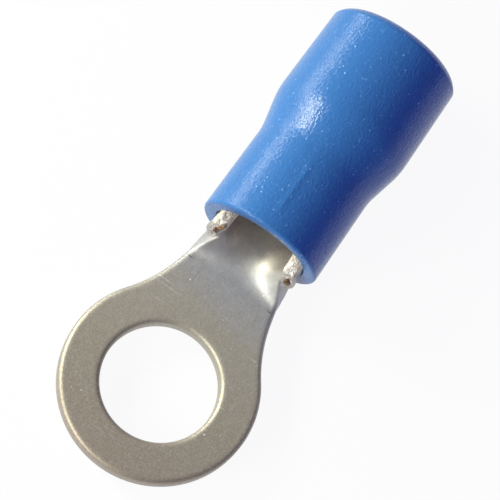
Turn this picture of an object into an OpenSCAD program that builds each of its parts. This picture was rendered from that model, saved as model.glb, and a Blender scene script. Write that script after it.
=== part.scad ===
// Insulated ring terminal: a stamped, rolled and tinned copper terminal whose barrel
// is pressed into a moulded PVC sleeve with a flared wire entry.
// Origin: centre of the stud hole, on the tongue's flat underside.
// +X runs along the terminal to the sleeve, +Z to the side where the barrel's seam closes.

/* [Ring tongue] */
// diameter of the stud hole
stud_hole_d = 5.3; // [4.3:0.1:5.5]
// outer diameter of the ring
ring_d = 9; // [8.4:0.1:10]
// thickness of the copper strip
stock_t = 0.75; // [0.6:0.05:0.8]
// width of the flat strip where it is narrowest, ahead of the barrel
neck_w = 4.45; // [4.05:0.1:4.75]
// angle that each flank of the tongue makes with the long axis
flank_angle = 14; // [10:1:16]
// radius of the blend from the ring into each flank
flank_fillet_r = 7; // [4:0.25:8]
// radius of the punch roll-over on the upper edges of the tongue
edge_roll_r = 0.24; // [0.1:0.02:0.28]

/* [Rolled barrel] */
// outside diameter of the closed barrel
barrel_od = 4.5; // [4.3:0.05:4.7]
// length of the barrel that lies inside the sleeve
barrel_in_sleeve = 4.35; // [3.8:0.05:4.4]
// how far the barrel's front corners stand out of the sleeve
barrel_stand_out = 0.6; // [0.5:0.05:0.8]
// how far ahead of the barrel's front corners the flat strip starts to curl
form_ahead = 0.7; // [0.6:0.05:0.9]
// length over which the flat strip is curled to the barrel's radius
form_len = 1.1; // [1:0.05:1.25]
// step up from the tongue's underside to the barrel's
step_up = 0.25; // [0.05:0.05:0.3]
// radius of the notch between the neck and the barrel's front corners
neck_fillet_r = 0.8; // [0.7:0.05:1]
// length of each rounded front corner of the barrel
corner_len = 0.3; // [0.2:0.05:0.4]
// how far round from the bottom the open trough reaches behind its corners, in degrees
trough_angle = 95; // [88:1:100]
// length over which the open trough closes to the butt seam
closing_len = 1.4; // [1.1:0.05:1.7]
// width of the butt seam left open along the top of the barrel
seam_gap = 0.06; // [0.04:0.01:0.1]
// radius of the roll-over on the barrel's sheared outer edges
shear_roll_r = 0.16; // [0.06:0.02:0.2]
// radius left on the barrel's sheared inner edges
shear_burr_r = 0.06; // [0.04:0.01:0.1]

/* [Insulating sleeve] */
// distance from the stud hole's centre to the sleeve's front face
hole_to_sleeve = 7.2; // [7:0.1:8.2]
// length of the sleeve
sleeve_len = 11.1; // [10.6:0.1:12]
// outside diameter just behind the sleeve's front face
front_od = 5.88; // [5.78:0.05:6.18]
// outside diameter at the waist, behind the barrel
waist_od = 5.74; // [5.6:0.02:5.96]
// distance from the sleeve's front face to the waist
waist_at = 4.45; // [4.4:0.05:4.7]
// outside diameter where the flare ends
flare_od = 6.57; // [6.42:0.05:6.77]
// slope of the flare behind the waist, in degrees
flare_angle = 12.4; // [10:0.2:20]
// radius that rounds the end of the flare
flare_round_r = 4; // [2:0.5:4.5]
// outside diameter at the sleeve's back edge
back_od = 6.39; // [6.29:0.02:6.55]
// length of the crowned end around the wire entry
crown_len = 0.45; // [0.3:0.05:0.6]
// radius on the edge of the wire entry
mouth_round_r = 0.12; // [0.05:0.01:0.2]
// diameter of the wire entry
wire_bore_d = 4.9; // [4.6:0.1:5]
// diameter of the throat that guides the wire into the barrel
throat_d = 3.4; // [3.4:0.1:3.8]
// length of the throat behind the barrel
throat_len = 0.3; // [0.2:0.05:0.5]
// length of the funnel from the throat to the wire bore
funnel_len = 1.3; // [1:0.1:1.8]
// radius on the edges of the sleeve's front face
front_round_r = 0.14; // [0.05:0.01:0.2]
// gap between the barrel and the sleeve that holds it
press_clearance = 0.01; // [0.01:0.01:0.03]

/* [Seam witness on the sleeve] */
// height of the faint ridge that the seam leaves along the sleeve
ridge_h = 0.03; // [0.02:0.01:0.05]
// radius of the ridge's crown
ridge_r = 0.5; // [0.4:0.05:0.8]
// distance from the sleeve's front face to the start of the ridge
ridge_from = 0.35; // [0.2:0.05:0.6]
// turn of the ridge away from the top, in degrees
ridge_turn = 3; // [0:1:5]

/* [Hidden] */
// segments that a full circle gets in a preview
$fn = 96;
// overreach of a cutter past the face that it opens
over = 0.5;
// thickness that the reamer takes out of the rolled barrel
ream_t = 0.02;
// distance from the closed mouth to where the reamed bore starts
ream_lead = 0.1;
// how much flatter than a quarter circle the roll-over of the stud hole is
roll_ease = 1.15;
// share of its radius over which the notch runs ahead of the barrel's front corners
notch_share = 0.55;
// curvature, in 1 over mm, below which the strip counts as flat
flat_bend = 0.001;
// steps round the ring, along each blend and over a rolled edge
ring_steps = 96;
blend_steps = 12;
roll_steps = 4;

hole_r = stud_hole_d / 2;
roll_arc_r = edge_roll_r * roll_ease;
ring_r = ring_d / 2;
barrel_r = barrel_od / 2;
axis_z = barrel_r + step_up;
bore_r = barrel_r - stock_t;
mean_r = barrel_r - stock_t / 2;
half_circle = PI * mean_r;

// stations along the terminal
wing_x = hole_to_sleeve - barrel_stand_out;
form_x = wing_x - form_ahead;
shoulder_x = wing_x + corner_len;
closed_x = shoulder_x + closing_len;
barrel_back_x = hole_to_sleeve + barrel_in_sleeve;

// radii and stations of the sleeve, its stations measured from its front face
front_r = front_od / 2;
waist_r = waist_od / 2;
flare_r = flare_od / 2;
back_r = back_od / 2;
wire_r = wire_bore_d / 2;
grip_r = barrel_r + press_clearance;
seat_x = barrel_in_sleeve + press_clearance;
funnel_x = seat_x + throat_len;
flare_x = waist_at + (flare_r - waist_r) / tan(flare_angle);
edge_x = sleeve_len - crown_len;
crown_wall = back_r - wire_r;
crown_r = (pow(crown_wall, 2) + pow(crown_len, 2)) / (2 * crown_len);
taper_angle = atan((flare_r - back_r) / (edge_x - flare_x));
round_run = flare_round_r * tan((flare_angle + taper_angle) / 2);
round_from = [flare_r, flare_x] - round_run * [sin(flare_angle), cos(flare_angle)];
round_to = [flare_r, flare_x] + round_run * [-sin(taper_angle), cos(taper_angle)];
round_c = round_from + flare_round_r * [-cos(flare_angle), sin(flare_angle)];
ridge_lean = atan((front_r - waist_r) / waist_at);

// flank line, set by the neck's half width at its narrowest station
neck_x = wing_x - neck_fillet_r * notch_share;
flank_dir = [cos(flank_angle), -sin(flank_angle)];
flank_out = [sin(flank_angle), cos(flank_angle)];
neck_point = [neck_x, neck_w / 2];

// centre of the blend that touches both the ring and the flank line
blend_line = neck_point + flank_fillet_r * flank_out;
blend_dot = blend_line * flank_dir;
blend_far = ring_r + flank_fillet_r;
blend_run = -blend_dot + sqrt(blend_dot * blend_dot - blend_line * blend_line + blend_far * blend_far);
blend_c = blend_line + blend_run * flank_dir;
ring_touch = blend_c * ring_r / blend_far;
flank_touch = blend_c - flank_fillet_r * flank_out;
ring_touch_deg = atan2(ring_touch[1], ring_touch[0]);
form_w = flank_half(form_x);

function flank_half(x) = neck_w / 2 + tan(flank_angle) * (neck_x - x);

// half width of the flat blank at a station, out to the closed barrel
wing_w = neck_w / 2 + neck_fillet_r - sqrt(pow(neck_fillet_r, 2) - pow(wing_x - neck_x, 2));
shoulder_w = mean_r * trough_angle * PI / 180;
closed_w = half_circle - seam_gap / 2;

function blank_half(x) =
    x <= neck_x ? flank_half(x)
    : x <= wing_x ? neck_w / 2 + neck_fillet_r - sqrt(pow(neck_fillet_r, 2) - pow(x - neck_x, 2))
    : x <= shoulder_x ? wing_w + (shoulder_w - wing_w) * quarter((shoulder_x - x) / corner_len)
    : x < closed_x ? closed_w - (closed_w - shoulder_w) * quarter((x - shoulder_x) / closing_len)
    : closed_w;

// height of a unit quarter circle over the share of its base
function quarter(share) = sqrt(max(0, 1 - share * share));

// share of the full curl at a station, rising smoothly from flat to round
function curl(x) =
    let (share = min(1, max(0, (x - form_x) / form_len)))
    share * share * (3 - 2 * share);

// stations: even along the forming, by angle round each corner and the closing mouth
form_steps = 10;
corner_steps = 5;
closing_steps = 9;
stations = concat(
    [for (i = [0 : form_steps]) form_x + form_ahead * i / form_steps],
    [for (i = [1 : corner_steps]) shoulder_x - corner_len * cos(90 * i / corner_steps)],
    [for (i = [1 : closing_steps]) shoulder_x + closing_len * sin(90 * i / closing_steps)],
    [barrel_back_x]);

// columns across the strip, with extra ones round both edges
web_columns = 26;
edge_columns = 3;
edge_most = max(edge_roll_r, shear_roll_r);

function columns(w) = concat(
    [for (i = [edge_columns : -1 : 1]) -(w - edge_most) - edge_most * sin(90 * i / edge_columns)],
    [for (i = [0 : web_columns]) (w - edge_most) * (2 * i / web_columns - 1)],
    [for (i = [1 : edge_columns]) w - edge_most + edge_most * sin(90 * i / edge_columns)]);

// depth lost to an edge of radius r at a distance u from the middle of a strip of half width w
function edge_drop(u, w, r) =
    let (into = max(0, abs(u) - (w - r)))
    r - sqrt(max(0, r * r - into * into));

// a point of the strip: u across it, v up through it, curled about the barrel's axis line
function strip_point(x, u, v) =
    let (bend = curl(x) / mean_r, lift = step_up * curl(x))
    bend < flat_bend
        ? [x, u, v]
        : let (turn = u * bend * 180 / PI, r = 1 / bend - v + stock_t / 2)
            [x, r * sin(turn), lift + stock_t / 2 + 1 / bend - r * cos(turn)];

function lower_row(x) =
    let (w = blank_half(x), r = shear_roll_r * curl(x))
    [for (u = columns(w)) strip_point(x, u, edge_drop(u, w, r))];

function upper_row(x) =
    let (w = blank_half(x), r = edge_roll_r + (shear_burr_r - edge_roll_r) * curl(x),
        t = stock_t + ream_t * curl(x))
    [for (u = columns(w)) strip_point(x, u, t - edge_drop(u, w, r))];

// outline of the flat tongue at an inset: round the ring, along the blends and up to the forming
function arc_points(c, r, from, to, steps) =
    [for (i = [0 : steps])
        let (turn = from + (to - from) * i / steps)
        c + r * [cos(turn), sin(turn)]];

function flip_points(row) = [for (i = [len(row) - 1 : -1 : 0]) [row[i][0], -row[i][1]]];

function tongue_side(inset) = concat(
    [[form_x, form_w - inset]],
    arc_points(blend_c, flank_fillet_r + inset, 270 - flank_angle, 180 + ring_touch_deg, blend_steps));

function tongue_outline(inset) =
    let (side = tongue_side(inset))
    concat(side, arc_points([0, 0], ring_r - inset, ring_touch_deg, 360 - ring_touch_deg, ring_steps),
        flip_points(side));

// the flat tongue, its upper edges rolled over by the punch, as a stack of inset outlines
module flat_tongue() {
    levels = concat([[0, 0]], [for (i = [0 : roll_steps])
        let (q = 90 * i / roll_steps)
            [stock_t - edge_roll_r * (1 - sin(q)), edge_roll_r * (1 - cos(q))]]);
    rows = [for (level = levels) [for (p = tongue_outline(level[1])) [p[0], p[1], level[0]]]];
    around = len(rows[0]);
    last = len(rows) - 1;
    walls = [for (k = [0 : last - 1]) for (i = [0 : around - 1])
        let (j = (i + 1) % around)
        for (tri = [[k * around + i, (k + 1) * around + i, (k + 1) * around + j],
                    [k * around + i, (k + 1) * around + j, k * around + j]]) tri];
    under = [for (i = [0 : around - 1]) i];
    top = [for (i = [around - 1 : -1 : 0]) last * around + i];
    polyhedron(
        points = [for (row = rows) for (p = row) p],
        faces = concat(walls, [under, top]),
        convexity = 4);
}

// the stud hole and the roll-over at its upper edge
module stud_hole() {
    // from the hole's edge to the centre of the roll-over's arc, a little flatter than a quarter circle
    inset = edge_roll_r / 2 + sqrt(pow(roll_arc_r, 2) - pow(edge_roll_r, 2) / 2) / sqrt(2);
    translate([0, 0, -over])
        cylinder(r = hole_r, h = stock_t + 2 * over);
    rotate_extrude()
        difference() {
            translate([hole_r - over, stock_t - edge_roll_r])
                square([over + edge_roll_r, over + edge_roll_r]);
            translate([hole_r + inset, stock_t - inset])
                circle(roll_arc_r);
        }
}

// the strip curling up from the tongue and round to the butt seam, as one formed skin
module formed_strip() {
    rows = [for (x = stations) concat(lower_row(x), upper_row(x))];
    across = len(columns(1));
    around = 2 * across;
    last = len(rows) - 1;
    // the loop round a section: along the lower side, then back along the upper one
    loop = concat([for (i = [0 : across - 1]) i], [for (i = [across - 1 : -1 : 0]) across + i]);
    skin = [for (k = [0 : last - 1]) for (i = [0 : around - 1])
        let (a = loop[i], b = loop[(i + 1) % around])
        for (tri = [[k * around + a, (k + 1) * around + a, (k + 1) * around + b],
                    [k * around + a, (k + 1) * around + b, k * around + b]]) tri];
    front = [for (i = [0 : across - 2]) [i, i + 1, across + i + 1, across + i]];
    back = [for (i = [0 : across - 2])
        [for (p = [across + i, across + i + 1, i + 1, i]) last * around + p]];
    polyhedron(
        points = [for (row = rows) for (p = row) p],
        faces = concat(skin, front, back),
        convexity = 6);
}

// the closed barrel's bore, reamed true through the rolled strip
module barrel_bore() {
    translate([closed_x + ream_lead, 0, axis_z])
        rotate([0, 90, 0])
            cylinder(r = bore_r, h = barrel_back_x - closed_x);
}

module terminal_body() {
    color([0.62, 0.61, 0.58])
        difference() {
            union() {
                flat_tongue();
                formed_strip();
            }
            stud_hole();
            barrel_bore();
        }
}

// half section of the sleeve's outside, from its axis: radius across, station up
module sleeve_outside() {
    polygon([[0, 0], [front_r, 0], [front_r, front_round_r], [waist_r, waist_at], round_from,
            round_to, [back_r, edge_x], [0, edge_x]]);
    intersection() {
        translate(round_c)
            circle(flare_round_r);
        polygon([round_from, [flare_r, flare_x], round_to]);
    }
    intersection() {
        union() {
            translate([wire_r, sleeve_len - crown_r])
                circle(crown_r);
            translate([0, edge_x])
                square([wire_r, crown_len]);
        }
        translate([0, edge_x])
            square([back_r, crown_len]);
    }
}

// what rounds a corner of the half section: side points from the corner into the material, end likewise
module corner_section(at, r, side, end) {
    difference() {
        translate([side > 0 ? at[0] - over : at[0] - r, end > 0 ? at[1] - over : at[1] - r])
            square([r + over, r + over]);
        translate([at[0] + side * r, at[1] + end * r])
            circle(r);
    }
}

// the faint ridge over the barrel's seam
module seam_ridge() {
    rotate([0, 0, 180 - ridge_turn])
        translate([front_r - ridge_from * tan(ridge_lean) + ridge_h - ridge_r, 0, ridge_from])
            rotate([0, -ridge_lean, 0])
                cylinder(r = ridge_r, h = (waist_at - ridge_from) / cos(ridge_lean));
}

// the space that the barrel, the throat, the funnel and the wire's insulation take up
module sleeve_inside() {
    translate([0, 0, -over])
        cylinder(r = grip_r, h = over + seat_x);
    translate([0, 0, seat_x - over])
        cylinder(d = throat_d, h = over + throat_len);
    translate([0, 0, funnel_x])
        cylinder(d1 = throat_d, d2 = wire_bore_d, h = funnel_len);
    translate([0, 0, funnel_x + funnel_len])
        cylinder(r = wire_r, h = sleeve_len);
}

module insulating_sleeve() {
    color([0.20, 0.42, 0.74])
        translate([hole_to_sleeve, 0, axis_z])
            rotate([0, 90, 0])
                difference() {
                    union() {
                        rotate_extrude()
                            sleeve_outside();
                        seam_ridge();
                    }
                    sleeve_inside();
                    rotate_extrude() {
                        corner_section([front_r, 0], front_round_r, -1, 1);
                        corner_section([grip_r, 0], front_round_r, 1, 1);
                        corner_section([wire_r, sleeve_len], mouth_round_r, 1, -1);
                    }
                }
}

terminal_body();
insulating_sleeve();
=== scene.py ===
"""Insulated ring terminal: a stamped and rolled tinned copper terminal in a moulded blue PVC sleeve.

Shapes are worked out in millimetres in the part's own frame and scaled to metres when a mesh is made.
"""
import math

import bpy
import numpy as np
from mathutils import Matrix, Vector


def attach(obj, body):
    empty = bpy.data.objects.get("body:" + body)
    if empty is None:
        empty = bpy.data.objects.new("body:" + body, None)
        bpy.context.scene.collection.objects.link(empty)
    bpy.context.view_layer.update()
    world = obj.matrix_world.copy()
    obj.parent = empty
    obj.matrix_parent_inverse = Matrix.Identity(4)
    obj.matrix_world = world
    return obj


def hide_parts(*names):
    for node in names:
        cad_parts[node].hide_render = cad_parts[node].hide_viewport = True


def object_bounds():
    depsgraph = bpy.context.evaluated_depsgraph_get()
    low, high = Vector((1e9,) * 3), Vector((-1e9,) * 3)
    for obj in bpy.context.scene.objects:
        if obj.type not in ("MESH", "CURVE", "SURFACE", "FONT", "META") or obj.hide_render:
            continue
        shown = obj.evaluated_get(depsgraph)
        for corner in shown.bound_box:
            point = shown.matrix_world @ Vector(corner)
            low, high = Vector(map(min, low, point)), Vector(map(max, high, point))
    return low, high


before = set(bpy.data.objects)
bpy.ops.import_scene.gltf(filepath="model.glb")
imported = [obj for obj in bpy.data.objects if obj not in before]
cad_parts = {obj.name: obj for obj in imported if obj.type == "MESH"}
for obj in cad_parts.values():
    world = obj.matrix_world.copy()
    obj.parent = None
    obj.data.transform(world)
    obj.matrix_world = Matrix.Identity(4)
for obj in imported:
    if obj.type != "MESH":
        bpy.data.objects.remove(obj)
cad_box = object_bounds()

MM = 0.001

# ---------------------------------------------------------------- sizes, in millimetres

HOLE_R = 2.65
RING_R = 4.5
STOCK_T = 0.75
NECK_W = 4.45
FLANK_DEG = 14.0
BLEND_R = 7.0
EDGE_ROLL_R = 0.24

BARREL_R = 2.25
FORM_AHEAD = 1.15
FORM_LEN = 1.6
STEP_UP = 0.25
LIFT_LEN = 2.3
NOTCH_R = 0.8
NOTCH_SHARE = 0.55
CORNER_LEN = 0.3
TROUGH_DEG = 95.0
CLOSING_LEN = 1.4
SEAM_GAP = 0.06
SHEAR_ROLL_R = 0.12
SHEAR_BURR_R = 0.04

SLEEVE_X = 7.2
SLEEVE_LEN = 11.1
STAND_OUT = 0.6
BARREL_IN = 4.35
FRONT_R = 2.94
WAIST_R = 2.87
WAIST_AT = 4.45
WAIST_ROUND_R = 3.0
FLARE_R = 3.285
FLARE_DEG = 12.4
FLARE_ROUND_R = 4.0
BACK_R = 3.195
CROWN_LEN = 0.45
WIRE_R = 2.45
THROAT_R = 1.7
THROAT_LEN = 0.3
FUNNEL_LEN = 1.3
FRONT_ROUND_R = 0.14
MOUTH_ROUND_R = 0.12
PRESS_GAP = 0.01
RIDGE_H = 0.028
RIDGE_HALF_DEG = 2.8
RIDGE_TURN_DEG = 3.0

MEAN_R = BARREL_R - STOCK_T / 2
WING_X = SLEEVE_X - STAND_OUT
FORM_X = WING_X - FORM_AHEAD
FORMED_X = FORM_X + FORM_LEN
AXIS_Z = BARREL_R + STEP_UP
SHOULDER_X = WING_X + CORNER_LEN
CLOSED_X = SHOULDER_X + CLOSING_LEN
BACK_X = SLEEVE_X + BARREL_IN
NECK_X = WING_X - NOTCH_R * NOTCH_SHARE
WING_W = NECK_W / 2 + NOTCH_R - math.sqrt(NOTCH_R ** 2 - (WING_X - NECK_X) ** 2)
SHOULDER_W = MEAN_R * math.radians(TROUGH_DEG)
CLOSED_W = math.pi * MEAN_R - SEAM_GAP / 2


def smooth(low, high, value):
    """0 below low, 1 above high and a smooth rise between."""
    share = np.clip((value - low) / (high - low), 0.0, 1.0)
    return share * share * (3 - 2 * share)


def smoother(low, high, value):
    """As smooth, but its curvature starts and ends softly as well."""
    share = np.clip((value - low) / (high - low), 0.0, 1.0)
    return share ** 3 * (10 - 15 * share + 6 * share ** 2)


# ---------------------------------------------------------------- mesh helpers

def make_mesh(name, points, faces, attributes=None, sharp_deg=40.0):
    """A smooth-shaded object from points in mm, its coinciding points welded and hard edges marked."""
    points = np.asarray(points, dtype=float)
    keys = np.round(points / 1e-5).astype(np.int64)
    _, first, where = np.unique(keys, axis=0, return_index=True, return_inverse=True)
    where = where.reshape(-1)
    kept = []
    for face in faces:
        ring = [int(where[i]) for i in face]
        ring = [v for i, v in enumerate(ring) if v != ring[i - 1]]
        if len(set(ring)) == len(ring) and len(ring) > 2:
            kept.append(ring)
    mesh = bpy.data.meshes.new(name)
    mesh.from_pydata((points[first] * MM).tolist(), [], kept)
    for key, values in (attributes or {}).items():
        layer = mesh.attributes.new(key, "FLOAT", "POINT")
        layer.data.foreach_set("value", np.asarray(values, dtype=np.float32)[first])
    mesh.validate()
    mesh.shade_smooth()
    mesh.set_sharp_from_angle(angle=math.radians(sharp_deg))
    piece = bpy.data.objects.new(name, mesh)
    bpy.context.scene.collection.objects.link(piece)
    return piece


class Sheets:
    """Gathers grids of points, each joined into quads."""

    def __init__(self):
        self.points = []
        self.faces = []
        self.torn = []
        self.bare = []

    def grid(self, rows, torn=None, bare=None, flip=False, closed=False):
        """rows is an array (n, m, 3); torn is how ragged each point is and bare how little tin it has."""
        rows = np.asarray(rows)
        n, m, _ = rows.shape
        base = len(self.points)
        self.points.extend(rows.reshape(-1, 3).tolist())
        for kept, values in ((self.torn, torn), (self.bare, bare)):
            values = np.zeros((n, m)) if values is None else np.broadcast_to(values, (n, m))
            kept.extend(values.reshape(-1).tolist())
        for i in range(n - 1):
            for j in range(m if closed else m - 1):
                k = (j + 1) % m
                quad = [base + i * m + j, base + i * m + k, base + (i + 1) * m + k, base + (i + 1) * m + j]
                self.faces.append(quad[::-1] if flip else quad)


# ---------------------------------------------------------------- the flat blank of the terminal

def arc(centre, radius, start, end, steps):
    """Points of an arc, angles in degrees."""
    turn = np.radians(np.linspace(start, end, steps + 1))
    return np.column_stack([centre[0] + radius * np.cos(turn), centre[1] + radius * np.sin(turn)])


FLANK = math.radians(FLANK_DEG)
FLANK_DIR = np.array([math.cos(FLANK), -math.sin(FLANK)])
FLANK_OUT = np.array([math.sin(FLANK), math.cos(FLANK)])
BLEND_LINE = np.array([NECK_X, NECK_W / 2]) + BLEND_R * FLANK_OUT
BLEND_FAR = RING_R + BLEND_R
BLEND_DOT = BLEND_LINE @ FLANK_DIR
BLEND_RUN = -BLEND_DOT + math.sqrt(BLEND_DOT ** 2 - BLEND_LINE @ BLEND_LINE + BLEND_FAR ** 2)
BLEND_C = BLEND_LINE + BLEND_RUN * FLANK_DIR
TOUCH_DEG = math.degrees(math.atan2(BLEND_C[1], BLEND_C[0]))


def flank_half(x):
    """Half width of the blank on the straight flank."""
    return NECK_W / 2 + math.tan(FLANK) * (NECK_X - x)


def blank_half(x):
    """Half width of the blank at a station behind the ring."""
    if x <= NECK_X:
        return flank_half(x)
    if x <= WING_X:
        return NECK_W / 2 + NOTCH_R - math.sqrt(NOTCH_R ** 2 - (x - NECK_X) ** 2)
    if x <= SHOULDER_X:
        share = (SHOULDER_X - x) / CORNER_LEN
        return WING_W + (SHOULDER_W - WING_W) * math.sqrt(max(0.0, 1 - share * share))
    if x < CLOSED_X:
        share = (x - SHOULDER_X) / CLOSING_LEN
        return CLOSED_W - (CLOSED_W - SHOULDER_W) * math.sqrt(max(0.0, 1 - share * share))
    return CLOSED_W


def tongue_side(inset, steps=64, flank_steps=8):
    """The +Y side of the tongue's outline from the forming to the ring, moved in by inset."""
    turns = arc(BLEND_C, BLEND_R + inset, 270 - FLANK_DEG, 180 + TOUCH_DEG, steps)
    start = np.array([FORM_X, flank_half(FORM_X)]) - inset * FLANK_OUT
    start += FLANK_DIR * (FORM_X - start[0]) / FLANK_DIR[0]
    share = np.linspace(0, 1, flank_steps + 1)[:-1, None]
    return np.vstack([start + (turns[0] - start) * share, turns])


def tongue_outline(inset, ring_steps=360):
    """The tongue's open outline from the forming on +Y, round the ring, to the forming on -Y."""
    side = tongue_side(inset)
    ring = arc((0, 0), RING_R - inset, TOUCH_DEG, 360 - TOUCH_DEG, ring_steps)
    other = side[::-1] * [1, -1]
    return np.vstack([side, ring[1:-1], other])


def roll_levels(radius, steps):
    """(inset, drop) pairs of a rolled edge, from the wall to the flat."""
    turn = np.linspace(0, math.pi / 2, steps + 1)
    return np.column_stack([radius * (1 - np.cos(turn)), radius * (1 - np.sin(turn))])


# ---------------------------------------------------------------- curling the blank

# a bend, in 1/mm, below which the blank counts as flat
FLAT_BEND = 1e-3


def curled(x, u, v):
    """A point of the blank, u across and v up through it, curled about the barrel's axis."""
    x, u, v = np.broadcast_arrays(np.asarray(x, float), np.asarray(u, float), np.asarray(v, float))
    curl = smoother(FORM_X, FORMED_X, x)
    bend = curl / MEAN_R
    safe = np.maximum(bend, FLAT_BEND / 1000)
    turn = u * safe
    r = 1 / safe - v + STOCK_T / 2
    y = np.where(bend < FLAT_BEND, u, r * np.sin(turn))
    lift = STEP_UP * smoother(FORM_X, FORM_X + LIFT_LEN, x)
    z = lift + np.where(bend < FLAT_BEND, v, STOCK_T / 2 + 1 / safe - r * np.cos(turn))
    return np.stack([x, y, z], axis=-1)


ROLL_STEPS = 6
WALL_STEPS = 6
WEB_COLUMNS = 72
FACE_ROWS = 15
FORM_STATIONS = 80
CORNER_STATIONS = 24
CLOSING_STATIONS = 30
BARREL_STATIONS = 11


def stations():
    """Stations along the formed strip, dense where its outline turns."""
    form = np.linspace(FORM_X, WING_X, FORM_STATIONS)
    corner_turn = np.radians(np.linspace(0, 90, CORNER_STATIONS + 1)[1:])
    corner = SHOULDER_X - CORNER_LEN * np.cos(corner_turn)
    closing_turn = np.radians(np.linspace(0, 90, CLOSING_STATIONS + 1)[1:])
    closing = SHOULDER_X + CLOSING_LEN * np.sin(closing_turn)
    barrel = np.linspace(CLOSED_X, BACK_X, BARREL_STATIONS + 1)[1:]
    return np.concatenate([form, corner, closing, barrel])


def strip_edges():
    """The +Y edge of the strip and its outward normals in the blank."""
    x = stations()
    w = np.array([blank_half(t) for t in x])
    along = np.gradient(np.column_stack([x, w]), axis=0)
    along /= np.linalg.norm(along, axis=1)[:, None]
    out = np.column_stack([-along[:, 1], along[:, 0]])
    out[0] = FLANK_OUT
    return x, w, out


def edge_rows(x, w, out, inset, side):
    """The strip's edge moved in by inset, as (x, u) with x kept in order."""
    ex = np.maximum.accumulate(x - inset * out[:, 0] + 1e-4 * np.arange(len(x)) / len(x))
    ex[0] = x[0]
    ew = w - inset * out[:, 1]
    ew[0] = w[0] - (inset[0] if np.ndim(inset) else inset) / math.cos(FLANK)
    return ex, side * ew


def tongue_face(inset, z):
    """A flat face of the tongue, its edges moved in by inset, and the directions from the hole to them."""
    half = flank_half(FORM_X) - inset / math.cos(FLANK)
    across_joint = np.linspace(-half, half, WEB_COLUMNS + 1)[1:-1]
    joint = np.column_stack([np.full(WEB_COLUMNS - 1, FORM_X), across_joint])
    loop = np.vstack([tongue_outline(inset), joint])
    bearing = np.arctan2(loop[:, 1], loop[:, 0])
    way = np.column_stack([np.cos(bearing), np.sin(bearing)])
    rim = (HOLE_R + inset) * way
    shares = np.linspace(0, 1, FACE_ROWS)[:, None, None]
    rows = rim[None] * (1 - shares) + loop[None] * shares
    return np.concatenate([rows, np.full(rows.shape[:2] + (1,), z)], axis=2), way


def lifted(outline, z):
    """A flat outline at a height."""
    return np.column_stack([outline, np.full(len(outline), z)])


def tongue_sheets(sheets):
    """Adds the flat tongue with its ring, as sheets between outlines."""
    top_roll = roll_levels(EDGE_ROLL_R, ROLL_STEPS)
    heights = np.linspace(0, STOCK_T - EDGE_ROLL_R, WALL_STEPS + 1)
    top, way = tongue_face(EDGE_ROLL_R, STOCK_T)
    sheets.grid(top, closed=True, flip=True)
    sheets.grid([lifted(tongue_outline(inset), STOCK_T - drop) for inset, drop in top_roll])
    sheets.grid([lifted(tongue_outline(0), z) for z in heights])
    under, _ = tongue_face(0.0, 0.0)
    sheets.grid(under, closed=True)

    # stud hole: rolled upper edge and wall
    hole_edge = [lifted((HOLE_R + inset) * way, STOCK_T - drop) for inset, drop in top_roll]
    sheets.grid(hole_edge, closed=True, flip=True)
    sheets.grid([lifted(HOLE_R * way, z) for z in heights], closed=True, flip=True)


# where copper is bare on each edge: distance from the blank's middle and share of the way up through it
BARE_SPOTS = {1: (2.86, 0.8), -1: (2.72, 0.55)}
BARE_ACROSS = 0.30
BARE_UP = 0.36
# the torn look of the edges fades in from ahead of the barrel's front corners to behind them
TORN_AHEAD = 0.12
TORN_BEHIND = 0.05
# the higher, the closer the slanted ends of the rows keep to the strip's edges
EDGE_EASE = 8


def strip_sheets(sheets):
    """Adds the strip that curls up from the tongue and round to the butt seam."""
    x, w, out = strip_edges()
    curl = smoother(FORM_X, FORMED_X, x)
    top_r = EDGE_ROLL_R + (SHEAR_BURR_R - EDGE_ROLL_R) * curl
    low_r = np.maximum(1e-4, SHEAR_ROLL_R * curl)
    shares = np.linspace(-1, 1, WEB_COLUMNS + 1)
    ease = shares ** EDGE_EASE

    def web(radius, height):
        """The strip between its rolled edges, at a height through it."""
        ex, eu = edge_rows(x, w, out, radius, 1)
        px = x[:, None] + (ex - x)[:, None] * ease[None]
        return curled(px, eu[:, None] * shares[None], np.broadcast_to(height, px.shape))

    def border(radius, side, top):
        """One rolled edge as columns from the wall to the flat."""
        columns = []
        for turn in np.linspace(0, math.pi / 2, ROLL_STEPS + 1):
            inset = radius * (1 - math.cos(turn))
            drop = radius * (1 - math.sin(turn))
            ex, eu = edge_rows(x, w, out, inset, side)
            columns.append(curled(ex, eu, STOCK_T - drop if top else drop))
        return np.stack(columns, axis=1)

    sheets.grid(web(top_r, STOCK_T), flip=True)
    sheets.grid(web(low_r, 0.0))
    for side in (1, -1):
        sheets.grid(border(top_r, side, True), flip=side < 0)
        sheets.grid(border(low_r, side, False), flip=side > 0)
        share = np.linspace(0, 1, WALL_STEPS + 1)[None]
        low = low_r[:, None]
        heights = low + (STOCK_T - top_r[:, None] - low) * share
        edge_x = np.broadcast_to(x[:, None], heights.shape)
        edge_u = np.broadcast_to(side * w[:, None], heights.shape)
        torn = smooth(WING_X - TORN_AHEAD, WING_X + TORN_BEHIND, edge_x) * np.sin(math.pi * share) ** 0.5
        spot_u, spot_share = BARE_SPOTS[side]
        off_across = (np.abs(edge_u) - spot_u) / BARE_ACROSS
        off_up = (share - spot_share) / BARE_UP
        bare = np.exp(-off_across ** 2 - off_up ** 2)
        sheets.grid(curled(edge_x, edge_u, heights), torn=torn, bare=bare, flip=side < 0)

    # the barrel's back end
    loop_u = np.linspace(-CLOSED_W, CLOSED_W, WEB_COLUMNS + 1)
    cap = np.stack([curled(np.full_like(loop_u, BACK_X), loop_u, np.full_like(loop_u, z))
                    for z in (SHEAR_ROLL_R, STOCK_T - SHEAR_BURR_R)])
    sheets.grid(cap, flip=True)


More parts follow.
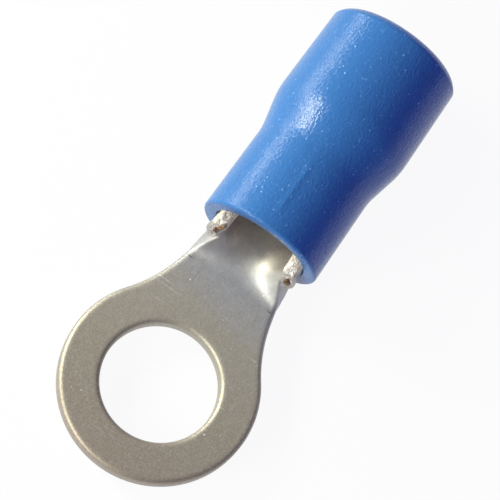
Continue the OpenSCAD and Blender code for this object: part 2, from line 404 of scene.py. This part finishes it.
def make_terminal():
    """The visible terminal, standing for the CAD node terminal_body."""
    sheets = Sheets()
    tongue_sheets(sheets)
    strip_sheets(sheets)
    attributes = {"torn": sheets.torn, "bare": sheets.bare}
    return make_mesh("terminal", sheets.points, sheets.faces, attributes, sharp_deg=35)


# ---------------------------------------------------------------- the sleeve

def line(start, end, steps):
    """Points from start up to but without end."""
    share = np.linspace(0, 1, steps + 1)[:-1, None]
    return np.asarray(start) + (np.asarray(end) - np.asarray(start)) * share


# how far along its straight stretch each line starts, clear of the rounding before it
FRONT_LEAD = 0.05
FLARE_LEAD = 0.1
BACK_LEAD = 0.2


def sleeve_profile():
    """The sleeve's section as (radius, station) points from its front bore, out and round to the inside."""
    flare_at = WAIST_AT + (FLARE_R - WAIST_R) / math.tan(math.radians(FLARE_DEG))
    edge_at = SLEEVE_LEN - CROWN_LEN
    crown_r = ((BACK_R - WIRE_R) ** 2 + CROWN_LEN ** 2) / (2 * CROWN_LEN)
    taper_deg = math.degrees(math.atan((FLARE_R - BACK_R) / (edge_at - flare_at)))
    run = FLARE_ROUND_R * math.tan(math.radians((FLARE_DEG + taper_deg) / 2))
    flare = math.radians(FLARE_DEG)
    round_from = np.array([FLARE_R, flare_at]) - run * np.array([math.sin(flare), math.cos(flare)])
    round_c = round_from + FLARE_ROUND_R * np.array([-math.cos(flare), math.sin(flare)])
    bore_r = BARREL_R + PRESS_GAP
    seat = BARREL_IN + PRESS_GAP
    funnel = seat + THROAT_LEN
    lean_deg = math.degrees(math.atan2(FRONT_R - WAIST_R, WAIST_AT))
    lean = math.radians(lean_deg)
    waist_run = WAIST_ROUND_R * math.tan((flare + lean) / 2)
    waist_from = np.array([WAIST_R, WAIST_AT]) + waist_run * np.array([math.sin(lean), -math.cos(lean)])
    waist_to = np.array([WAIST_R, WAIST_AT]) + waist_run * np.array([math.sin(flare), math.cos(flare)])
    waist_c = waist_from + WAIST_ROUND_R * np.array([math.cos(lean), math.sin(lean)])
    crown_end = math.degrees(math.atan2(crown_r - CROWN_LEN, BACK_R - WIRE_R))
    mouth_c = (WIRE_R + MOUTH_ROUND_R, SLEEVE_LEN - MOUTH_ROUND_R)
    back_from = (FLARE_R - (FLARE_R - BACK_R) * BACK_LEAD, flare_at + (edge_at - flare_at) * BACK_LEAD)
    return np.vstack([
        arc((bore_r + FRONT_ROUND_R, FRONT_ROUND_R), FRONT_ROUND_R, 180, 270, 8),
        arc((FRONT_R - FRONT_ROUND_R, FRONT_ROUND_R), FRONT_ROUND_R, 270, 360 + lean_deg, 8),
        line((FRONT_R - (FRONT_R - WAIST_R) * FRONT_LEAD, WAIST_AT * FRONT_LEAD), waist_from, 60),
        arc(waist_c, WAIST_ROUND_R, 180 + lean_deg, 180 - FLARE_DEG, 12),
        line(waist_to + (round_from - waist_to) * FLARE_LEAD, round_from, 12),
        arc(round_c, FLARE_ROUND_R, -FLARE_DEG, taper_deg, 24),
        line(back_from, (BACK_R, edge_at), 50),
        arc((WIRE_R, SLEEVE_LEN - crown_r), crown_r, crown_end, 88, 14),
        arc(mouth_c, MOUTH_ROUND_R, 100, 180, 8),
        line((WIRE_R, SLEEVE_LEN - 2 * MOUTH_ROUND_R), (WIRE_R, funnel + FUNNEL_LEN), 10),
        line((WIRE_R, funnel + FUNNEL_LEN), (THROAT_R, funnel), 8),
        line((THROAT_R, funnel), (THROAT_R, seat), 2),
        line((THROAT_R, seat), (bore_r, seat), 2),
        line((bore_r, seat), (bore_r, 2 * FRONT_ROUND_R), 12),
    ])


SLEEVE_TURNS = 288
# the ridge rises between two distances behind the sleeve's front and fades between two ahead of its waist
RIDGE_RISE = (0.4, 1.4)
RIDGE_FADE = (1.8, 0.2)
# what lies within this of the waist's radius, or outside it, is the sleeve's outer skin
SKIN_DEPTH = 0.01


def make_sleeve():
    """The moulded sleeve as a revolved skin with the faint ridge over the barrel's seam."""
    profile = sleeve_profile()
    turn = np.linspace(0, 2 * math.pi, SLEEVE_TURNS, endpoint=False)
    radius, at = profile[:, 0:1], profile[:, 1:2]
    off_ridge = np.abs((np.degrees(turn) - RIDGE_TURN_DEG + 180) % 360 - 180)[None]
    faded = smooth(WAIST_AT - RIDGE_FADE[0], WAIST_AT - RIDGE_FADE[1], at)
    along = smooth(*RIDGE_RISE, at) * (1 - faded) * (radius > WAIST_R - SKIN_DEPTH)
    radius = radius + RIDGE_H * along * np.exp(-(off_ridge / RIDGE_HALF_DEG) ** 2)
    points = np.stack([
        np.broadcast_to(SLEEVE_X + at, radius.shape),
        radius * np.sin(turn)[None],
        AXIS_Z + radius * np.cos(turn)[None],
    ], axis=-1)
    sheets = Sheets()
    sheets.grid(np.concatenate([points, points[:1]]), closed=True)
    return make_mesh("sleeve", sheets.points, sheets.faces, sharp_deg=30)


# ---------------------------------------------------------------- materials

class Nodes:
    """Short helpers for building a material's nodes."""

    def __init__(self, name, tree=None):
        if tree is None:
            self.material = bpy.data.materials.new(name)
            self.material.use_nodes = True
            tree = self.material.node_tree
        self.tree = tree
        tree.nodes.clear()

    def add(self, kind, **settings):
        node = self.tree.nodes.new(kind)
        for key, value in settings.items():
            setattr(node, key, value)
        return node

    def link(self, source, target):
        self.tree.links.new(source, target)

    def value(self, socket, value):
        """Sets a socket to a number or links it to another socket."""
        if isinstance(value, bpy.types.NodeSocket):
            self.link(value, socket)
        else:
            socket.default_value = value

    def math(self, operation, a, b):
        node = self.add("ShaderNodeMath", operation=operation)
        self.value(node.inputs[0], a)
        self.value(node.inputs[1], b)
        return node.outputs[0]

    def mix(self, share, a, b):
        """Mixes two colours."""
        node = self.add("ShaderNodeMix", data_type="RGBA")
        self.value(node.inputs["Factor"], share)
        self.value(node.inputs[6], a)
        self.value(node.inputs[7], b)
        return node.outputs[2]

    def place(self, scale=(1, 1, 1), turn=(0, 0, 0)):
        """Object coordinates in millimetres, then turned and scaled."""
        coords = self.add("ShaderNodeTexCoord")
        mapping = self.add("ShaderNodeMapping")
        mapping.inputs["Scale"].default_value = [s / MM for s in scale]
        mapping.inputs["Rotation"].default_value = [math.radians(t) for t in turn]
        self.link(coords.outputs["Object"], mapping.inputs["Vector"])
        return mapping.outputs["Vector"]

    def noise(self, vector, scale, detail, rough):
        node = self.add("ShaderNodeTexNoise")
        self.link(vector, node.inputs["Vector"])
        node.inputs["Scale"].default_value = scale
        node.inputs["Detail"].default_value = detail
        node.inputs["Roughness"].default_value = rough
        return node.outputs["Fac"]

    def cells(self, vector, scale):
        node = self.add("ShaderNodeTexVoronoi")
        self.link(vector, node.inputs["Vector"])
        node.inputs["Scale"].default_value = scale
        return node.outputs["Distance"]

    def ramp(self, value, stops):
        """A colour ramp through (place, colour or grey) stops."""
        node = self.add("ShaderNodeValToRGB")
        elements = node.color_ramp.elements
        while len(elements) < len(stops):
            elements.new(0.5)
        for element, (at, colour) in zip(elements, stops):
            element.position = at
            element.color = (colour,) * 3 + (1,) if isinstance(colour, float) else tuple(colour) + (1,)
        self.link(value, node.inputs["Fac"])
        return node.outputs["Color"]

    def bump(self, height, distance, normal=None):
        """A bump whose height is in millimetres."""
        node = self.add("ShaderNodeBump")
        node.inputs["Distance"].default_value = distance * MM
        self.link(height, node.inputs["Height"])
        if normal is not None:
            self.link(normal, node.inputs["Normal"])
        return node.outputs["Normal"]

    def scaled(self, value, factor, offset=0.0, clamp=False):
        """factor * value + offset."""
        node = self.add("ShaderNodeMath", operation="MULTIPLY_ADD", use_clamp=clamp)
        self.link(value, node.inputs[0])
        node.inputs[1].default_value = factor
        node.inputs[2].default_value = offset
        return node.outputs[0]

    def map_range(self, value, low, high, to_low=0.0, to_high=1.0):
        node = self.add("ShaderNodeMapRange")
        self.link(value, node.inputs["Value"])
        for key, number in zip(("From Min", "From Max", "To Min", "To Max"), (low, high, to_low, to_high)):
            node.inputs[key].default_value = number
        return node.outputs["Result"]

    def dots(self, vector, scale, radius, share):
        """Sparse round dots: radius in cells, and only where a slow noise is above share."""
        ragged = self.noise(vector, scale * 6, 2.0, 0.6)
        away = self.math("ADD", self.cells(vector, scale), self.scaled(ragged, 0.08, -0.04))
        spot = self.map_range(away, radius, radius * 0.45)
        here = self.map_range(self.noise(vector, scale * 0.31, 2.0, 0.6), share, share + 0.06)
        return self.math("MULTIPLY", spot, here)

    def strokes(self, vector, scale, share):
        """Short strokes where a stretched noise is above share."""
        return self.map_range(self.noise(vector, scale, 3.0, 0.55), share, share + 0.05)

    def attribute(self, name):
        return self.add("ShaderNodeAttribute", attribute_name=name).outputs["Fac"]

    def shader(self, **inputs):
        """A Principled shader with its output."""
        node = self.add("ShaderNodeBsdfPrincipled")
        for key, value in inputs.items():
            self.value(node.inputs[key.replace("_", " ")], value)
        out = self.add("ShaderNodeOutputMaterial")
        self.link(node.outputs[0], out.inputs["Surface"])
        return node


def tin_material():
    """Satin tin plate with fine pits and scratches, torn along its edges, with copper bare in two spots."""
    m = Nodes("tinned_copper")
    here = m.place()
    grain = m.noise(here, 13.0, 3.0, 0.7)
    mottle = m.noise(here, 2.6, 4.0, 0.65)
    broad = m.noise(here, 0.32, 2.0, 0.5)

    # tone along the terminal: warm and brownish round the ring's front, warm again at the barrel; the cool,
    # bluish tone at the neck is a painted reflection of bluish surroundings
    split = m.add("ShaderNodeSeparateXYZ")
    m.link(here, split.inputs[0])
    station = m.map_range(m.math("ADD", split.outputs["X"], m.scaled(broad, 2.0, -1.0)), -4.0, 8.0)
    tone = m.ramp(station, [(0.0, (0.345, 0.295, 0.235)), (0.31, (0.37, 0.345, 0.27)),
                            (0.63, (0.415, 0.40, 0.325)), (0.74, (0.43, 0.435, 0.425)),
                            (0.85, (0.455, 0.485, 0.52)), (0.96, (0.54, 0.51, 0.44))])
    tone = m.mix(m.scaled(mottle, 0.9, -0.25, clamp=True), tone, (0.31, 0.285, 0.225, 1))
    tone = m.mix(m.ramp(grain, [(0.45, 0.0), (0.8, 0.38)]), tone, (0.72, 0.72, 0.70, 1))

    # bright nicks and dark pits, about a tenth of a millimetre across, and fine scratches
    nicks = m.dots(m.place(turn=(0, 0, 20)), scale=1.7, radius=0.085, share=0.5)
    pits = m.dots(m.place(turn=(20, 0, 65)), scale=1.3, radius=0.08, share=0.53)
    scratches = m.strokes(m.place(scale=(9.0, 0.45, 1.0), turn=(0, 0, -62)), 1.0, 0.69)
    scores = m.strokes(m.place(scale=(0.35, 7.0, 1.0), turn=(0, 0, 12)), 1.0, 0.69)
    tone = m.mix(m.scaled(nicks, 0.8), tone, (0.92, 0.92, 0.90, 1))
    tone = m.mix(m.scaled(scratches, 0.45), tone, (0.85, 0.85, 0.84, 1))
    tone = m.mix(m.scaled(pits, 0.65), tone, (0.16, 0.13, 0.10, 1))
    tone = m.mix(m.scaled(scores, 0.35), tone, (0.25, 0.21, 0.17, 1))

    # torn edges from the barrel's front corners back: smeared tin, and copper where it is bare
    torn = m.attribute("torn")
    flakes = m.noise(m.place(), 3.6, 3.0, 0.6)
    smeared = m.ramp(flakes, [(0.36, (0.86, 0.86, 0.85)), (0.46, (0.58, 0.56, 0.53)),
                              (0.53, (0.30, 0.25, 0.21)), (0.60, (0.72, 0.70, 0.66)),
                              (0.70, (0.90, 0.89, 0.86))])
    copper = m.ramp(flakes, [(0.42, (0.05, 0.022, 0.012)), (0.52, (0.16, 0.065, 0.018)),
                             (0.58, (0.55, 0.27, 0.05)), (0.64, (0.10, 0.04, 0.015))])
    ragged_bare = m.math("ADD", m.attribute("bare"), m.scaled(m.noise(m.place(), 5.0, 3.0, 0.6), 0.5, -0.25))
    stripped = m.map_range(ragged_bare, 0.42, 0.52)
    tone = m.mix(torn, tone, m.mix(stripped, smeared, copper))

    rough = m.math("ADD", m.scaled(grain, 0.16, 0.40), m.scaled(pits, 0.3))
    height = m.math("ADD", m.scaled(grain, 0.5), m.scaled(nicks, 0.8))
    height = m.math("SUBTRACT", height, m.math("ADD", m.scaled(pits, 1.0), m.scaled(scores, 0.6)))
    normal = m.bump(height, 0.004)
    normal = m.bump(mottle, 0.012, normal=normal)
    ragged = m.math("MULTIPLY", torn, m.noise(m.place(), 5.0, 4.0, 0.7))
    normal = m.bump(ragged, 0.12, normal=normal)
    m.shader(Base_Color=tone, Metallic=0.7, Roughness=rough, Normal=normal)
    return m.material


def pvc_material():
    """Satin blue PVC with fine specks, short scuffs, a faintly uneven skin and a thin gloss over it."""
    m = Nodes("blue_pvc")
    here = m.place()
    grain = m.noise(m.place(scale=(1.0, 1.8, 1.8), turn=(0, 0, 30)), 5.5, 2.0, 0.5)
    broad = m.noise(here, 0.45, 3.0, 0.55)
    colour = m.mix(broad, (0.027, 0.143, 0.38, 1), (0.035, 0.170, 0.42, 1))
    specks = m.dots(m.place(turn=(15, 30, 0)), scale=2.7, radius=0.15, share=0.40)
    dark = m.dots(m.place(turn=(50, 0, 35)), scale=1.1, radius=0.05, share=0.6)
    scuffs = m.strokes(m.place(scale=(9.0, 3.6, 4.8), turn=(0, 25, 38)), 1.1, 0.62)
    colour = m.mix(m.scaled(specks, 0.75), colour, (0.20, 0.46, 0.78, 1))
    colour = m.mix(m.scaled(scuffs, 0.20), colour, (0.20, 0.40, 0.78, 1))
    colour = m.mix(m.scaled(dark, 0.5), colour, (0.02, 0.05, 0.20, 1))
    rough = m.math("ADD", m.scaled(grain, 0.16, 0.20), m.scaled(scuffs, 0.10))
    height = m.math("ADD", grain, m.scaled(specks, 0.5))
    normal = m.bump(height, 0.022)
    normal = m.bump(m.noise(here, 1.4, 3.0, 0.6), 0.018, normal=normal)
    m.shader(Base_Color=colour, Roughness=rough, Normal=normal, IOR=1.4, Specular_IOR_Level=0.2,
             Coat_Weight=0.35, Coat_Roughness=0.14, Coat_Normal=normal)
    return m.material


# how much of the floor's look is its own glow, for the camera and in reflections
FLOOR_GLOW = 0.93


def floor_material():
    """A pale floor, nearly all self-lit for the camera and in reflections: white, with a faint shadow."""
    m = Nodes("pale_floor")
    paper = m.add("ShaderNodeBsdfDiffuse")
    paper.inputs["Color"].default_value = (0.9, 0.9, 0.9, 1)
    glow = m.add("ShaderNodeEmission")
    glow.inputs["Strength"].default_value = 1.0
    rays = m.add("ShaderNodeLightPath")
    seen = m.math("MAXIMUM", rays.outputs["Is Camera Ray"], rays.outputs["Is Glossy Ray"])
    seen = m.math("MAXIMUM", seen, rays.outputs["Is Transmission Ray"])
    mix = m.add("ShaderNodeMixShader")
    m.link(m.math("MULTIPLY", seen, FLOOR_GLOW), mix.inputs[0])
    m.link(paper.outputs[0], mix.inputs[1])
    m.link(glow.outputs[0], mix.inputs[2])
    out = m.add("ShaderNodeOutputMaterial")
    m.link(mix.outputs[0], out.inputs["Surface"])
    return m.material


# ---------------------------------------------------------------- pieces

def dress(piece, material, node):
    """Gives a piece its material, hangs it under the root body and hides the CAD node it stands for."""
    piece.data.materials.append(material)
    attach(piece, "root")
    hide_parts(node)


dress(make_terminal(), tin_material(), "terminal_body")
dress(make_sleeve(), pvc_material(), "insulating_sleeve")

# ---------------------------------------------------------------- floor, lights and camera

# the bluish fill of the world on its -Y and +Y sides
FILL_DARK = (0.10, 0.07, 0.34, 1)
FILL_BRIGHT = (0.18, 0.16, 0.46, 1)
# half the floor's width, in metres
FLOOR_REACH = 1.5
# how far the softboxes stand from the object, in millimetres
SOFTBOX_AWAY = 130

CAMERA_TILT_DEG = 16.0
CAMERA_TURN_DEG = 54.5
CAMERA_LENS = 324.0
VIEW_WIDTH = 21.89
VIEW_CENTRE = (4.032, 5.932)

tilt = math.radians(CAMERA_TILT_DEG)
turn = math.radians(CAMERA_TURN_DEG)
toward = Vector((-math.sin(tilt), 0, math.cos(tilt)))
along = Vector((math.cos(tilt), 0, math.sin(tilt)))
across = Vector((0, 1, 0))
right = math.cos(turn) * along - math.sin(turn) * across
up = math.sin(turn) * along + math.cos(turn) * across


def add_floor():
    """A wide pale floor, level with the lowest point of the terminal."""
    low = cad_box[0][2]
    mesh = bpy.data.meshes.new("floor")
    corners = [(x * FLOOR_REACH, y * FLOOR_REACH, low) for x, y in ((-1, -1), (1, -1), (1, 1), (-1, 1))]
    mesh.from_pydata(corners, [], [(0, 1, 2, 3)])
    floor = bpy.data.objects.new("floor", mesh)
    bpy.context.scene.collection.objects.link(floor)
    mesh.materials.append(floor_material())


def add_softbox(name, direction, width, height, power, colour):
    """An area light in a direction (right, up, toward) of the picture, aimed at the object."""
    centre = (Vector(cad_box[0]) + Vector(cad_box[1])) / 2
    way = (direction[0] * right + direction[1] * up + direction[2] * toward).normalized()
    lamp = bpy.data.lights.new(name, "AREA")
    lamp.shape = "RECTANGLE"
    lamp.size, lamp.size_y = width * MM, height * MM
    lamp.energy = power
    lamp.color = colour
    light = bpy.data.objects.new(name, lamp)
    bpy.context.scene.collection.objects.link(light)
    place = centre + way * SOFTBOX_AWAY * MM
    facing = way.to_track_quat("Z", "Y").to_matrix().to_4x4()
    light.matrix_world = Matrix.Translation(place) @ facing


def add_camera():
    """A long lens above the ring, tilted towards its front so that the sleeve's mouth shows."""
    data = bpy.data.cameras.new("camera")
    data.lens = CAMERA_LENS
    data.sensor_width = 36.0
    data.clip_start = 0.01
    data.clip_end = 10.0
    camera = bpy.data.objects.new("camera", data)
    bpy.context.scene.collection.objects.link(camera)
    target = (VIEW_CENTRE[0] * right + VIEW_CENTRE[1] * up) * MM
    distance = CAMERA_LENS / data.sensor_width * VIEW_WIDTH * MM
    place = target + toward * distance
    facing = Matrix((right, up, toward)).transposed().to_4x4()
    camera.matrix_world = Matrix.Translation(place) @ facing
    bpy.context.scene.camera = camera


def set_world():
    """White for the camera, a bluish fill for diffuse light, and for reflections a room.

    The room is bright on the +Y side and a dark warm grey on the other.
    """
    world = bpy.data.worlds.new("surround")
    world.use_nodes = True
    bpy.context.scene.world = world
    m = Nodes("surround", world.node_tree)
    coords = m.add("ShaderNodeTexCoord")
    split = m.add("ShaderNodeSeparateXYZ")
    m.link(coords.outputs["Generated"], split.inputs[0])
    side = m.map_range(split.outputs["Y"], -1.0, 1.0)
    room = m.ramp(side, [(0.0, (0.24, 0.22, 0.21)), (0.30, (0.32, 0.30, 0.28)), (0.46, (0.42, 0.41, 0.39)),
                         (0.56, (0.52, 0.52, 0.51)), (0.85, (0.85, 0.88, 0.86))])
    rays = m.add("ShaderNodeLightPath")
    fill = m.mix(side, FILL_DARK, FILL_BRIGHT)
    back = m.add("ShaderNodeBackground")
    m.link(m.mix(rays.outputs["Is Glossy Ray"], fill, room), back.inputs["Color"])
    white = m.add("ShaderNodeBackground")
    white.inputs["Color"].default_value = (1, 1, 1, 1)
    mix = m.add("ShaderNodeMixShader")
    m.link(rays.outputs["Is Camera Ray"], mix.inputs[0])
    m.link(back.outputs[0], mix.inputs[1])
    m.link(white.outputs[0], mix.inputs[2])
    out = m.add("ShaderNodeOutputWorld")
    m.link(mix.outputs[0], out.inputs["Surface"])



add_floor()
add_camera()
add_softbox("key", (-0.65, 0.56, 0.52), 38, 38, power=0.15, colour=(1.0, 0.97, 0.78))
add_softbox("front", (-0.71, -0.22, 0.67), 50, 50, power=0.105, colour=(1.0, 0.96, 0.80))
add_softbox("low_side", (-0.60, 0.80, 0.07), 70, 30, power=0.06, colour=(1.0, 1.0, 0.92))
set_world()
bpy.context.scene.view_settings.view_transform = "Standard"
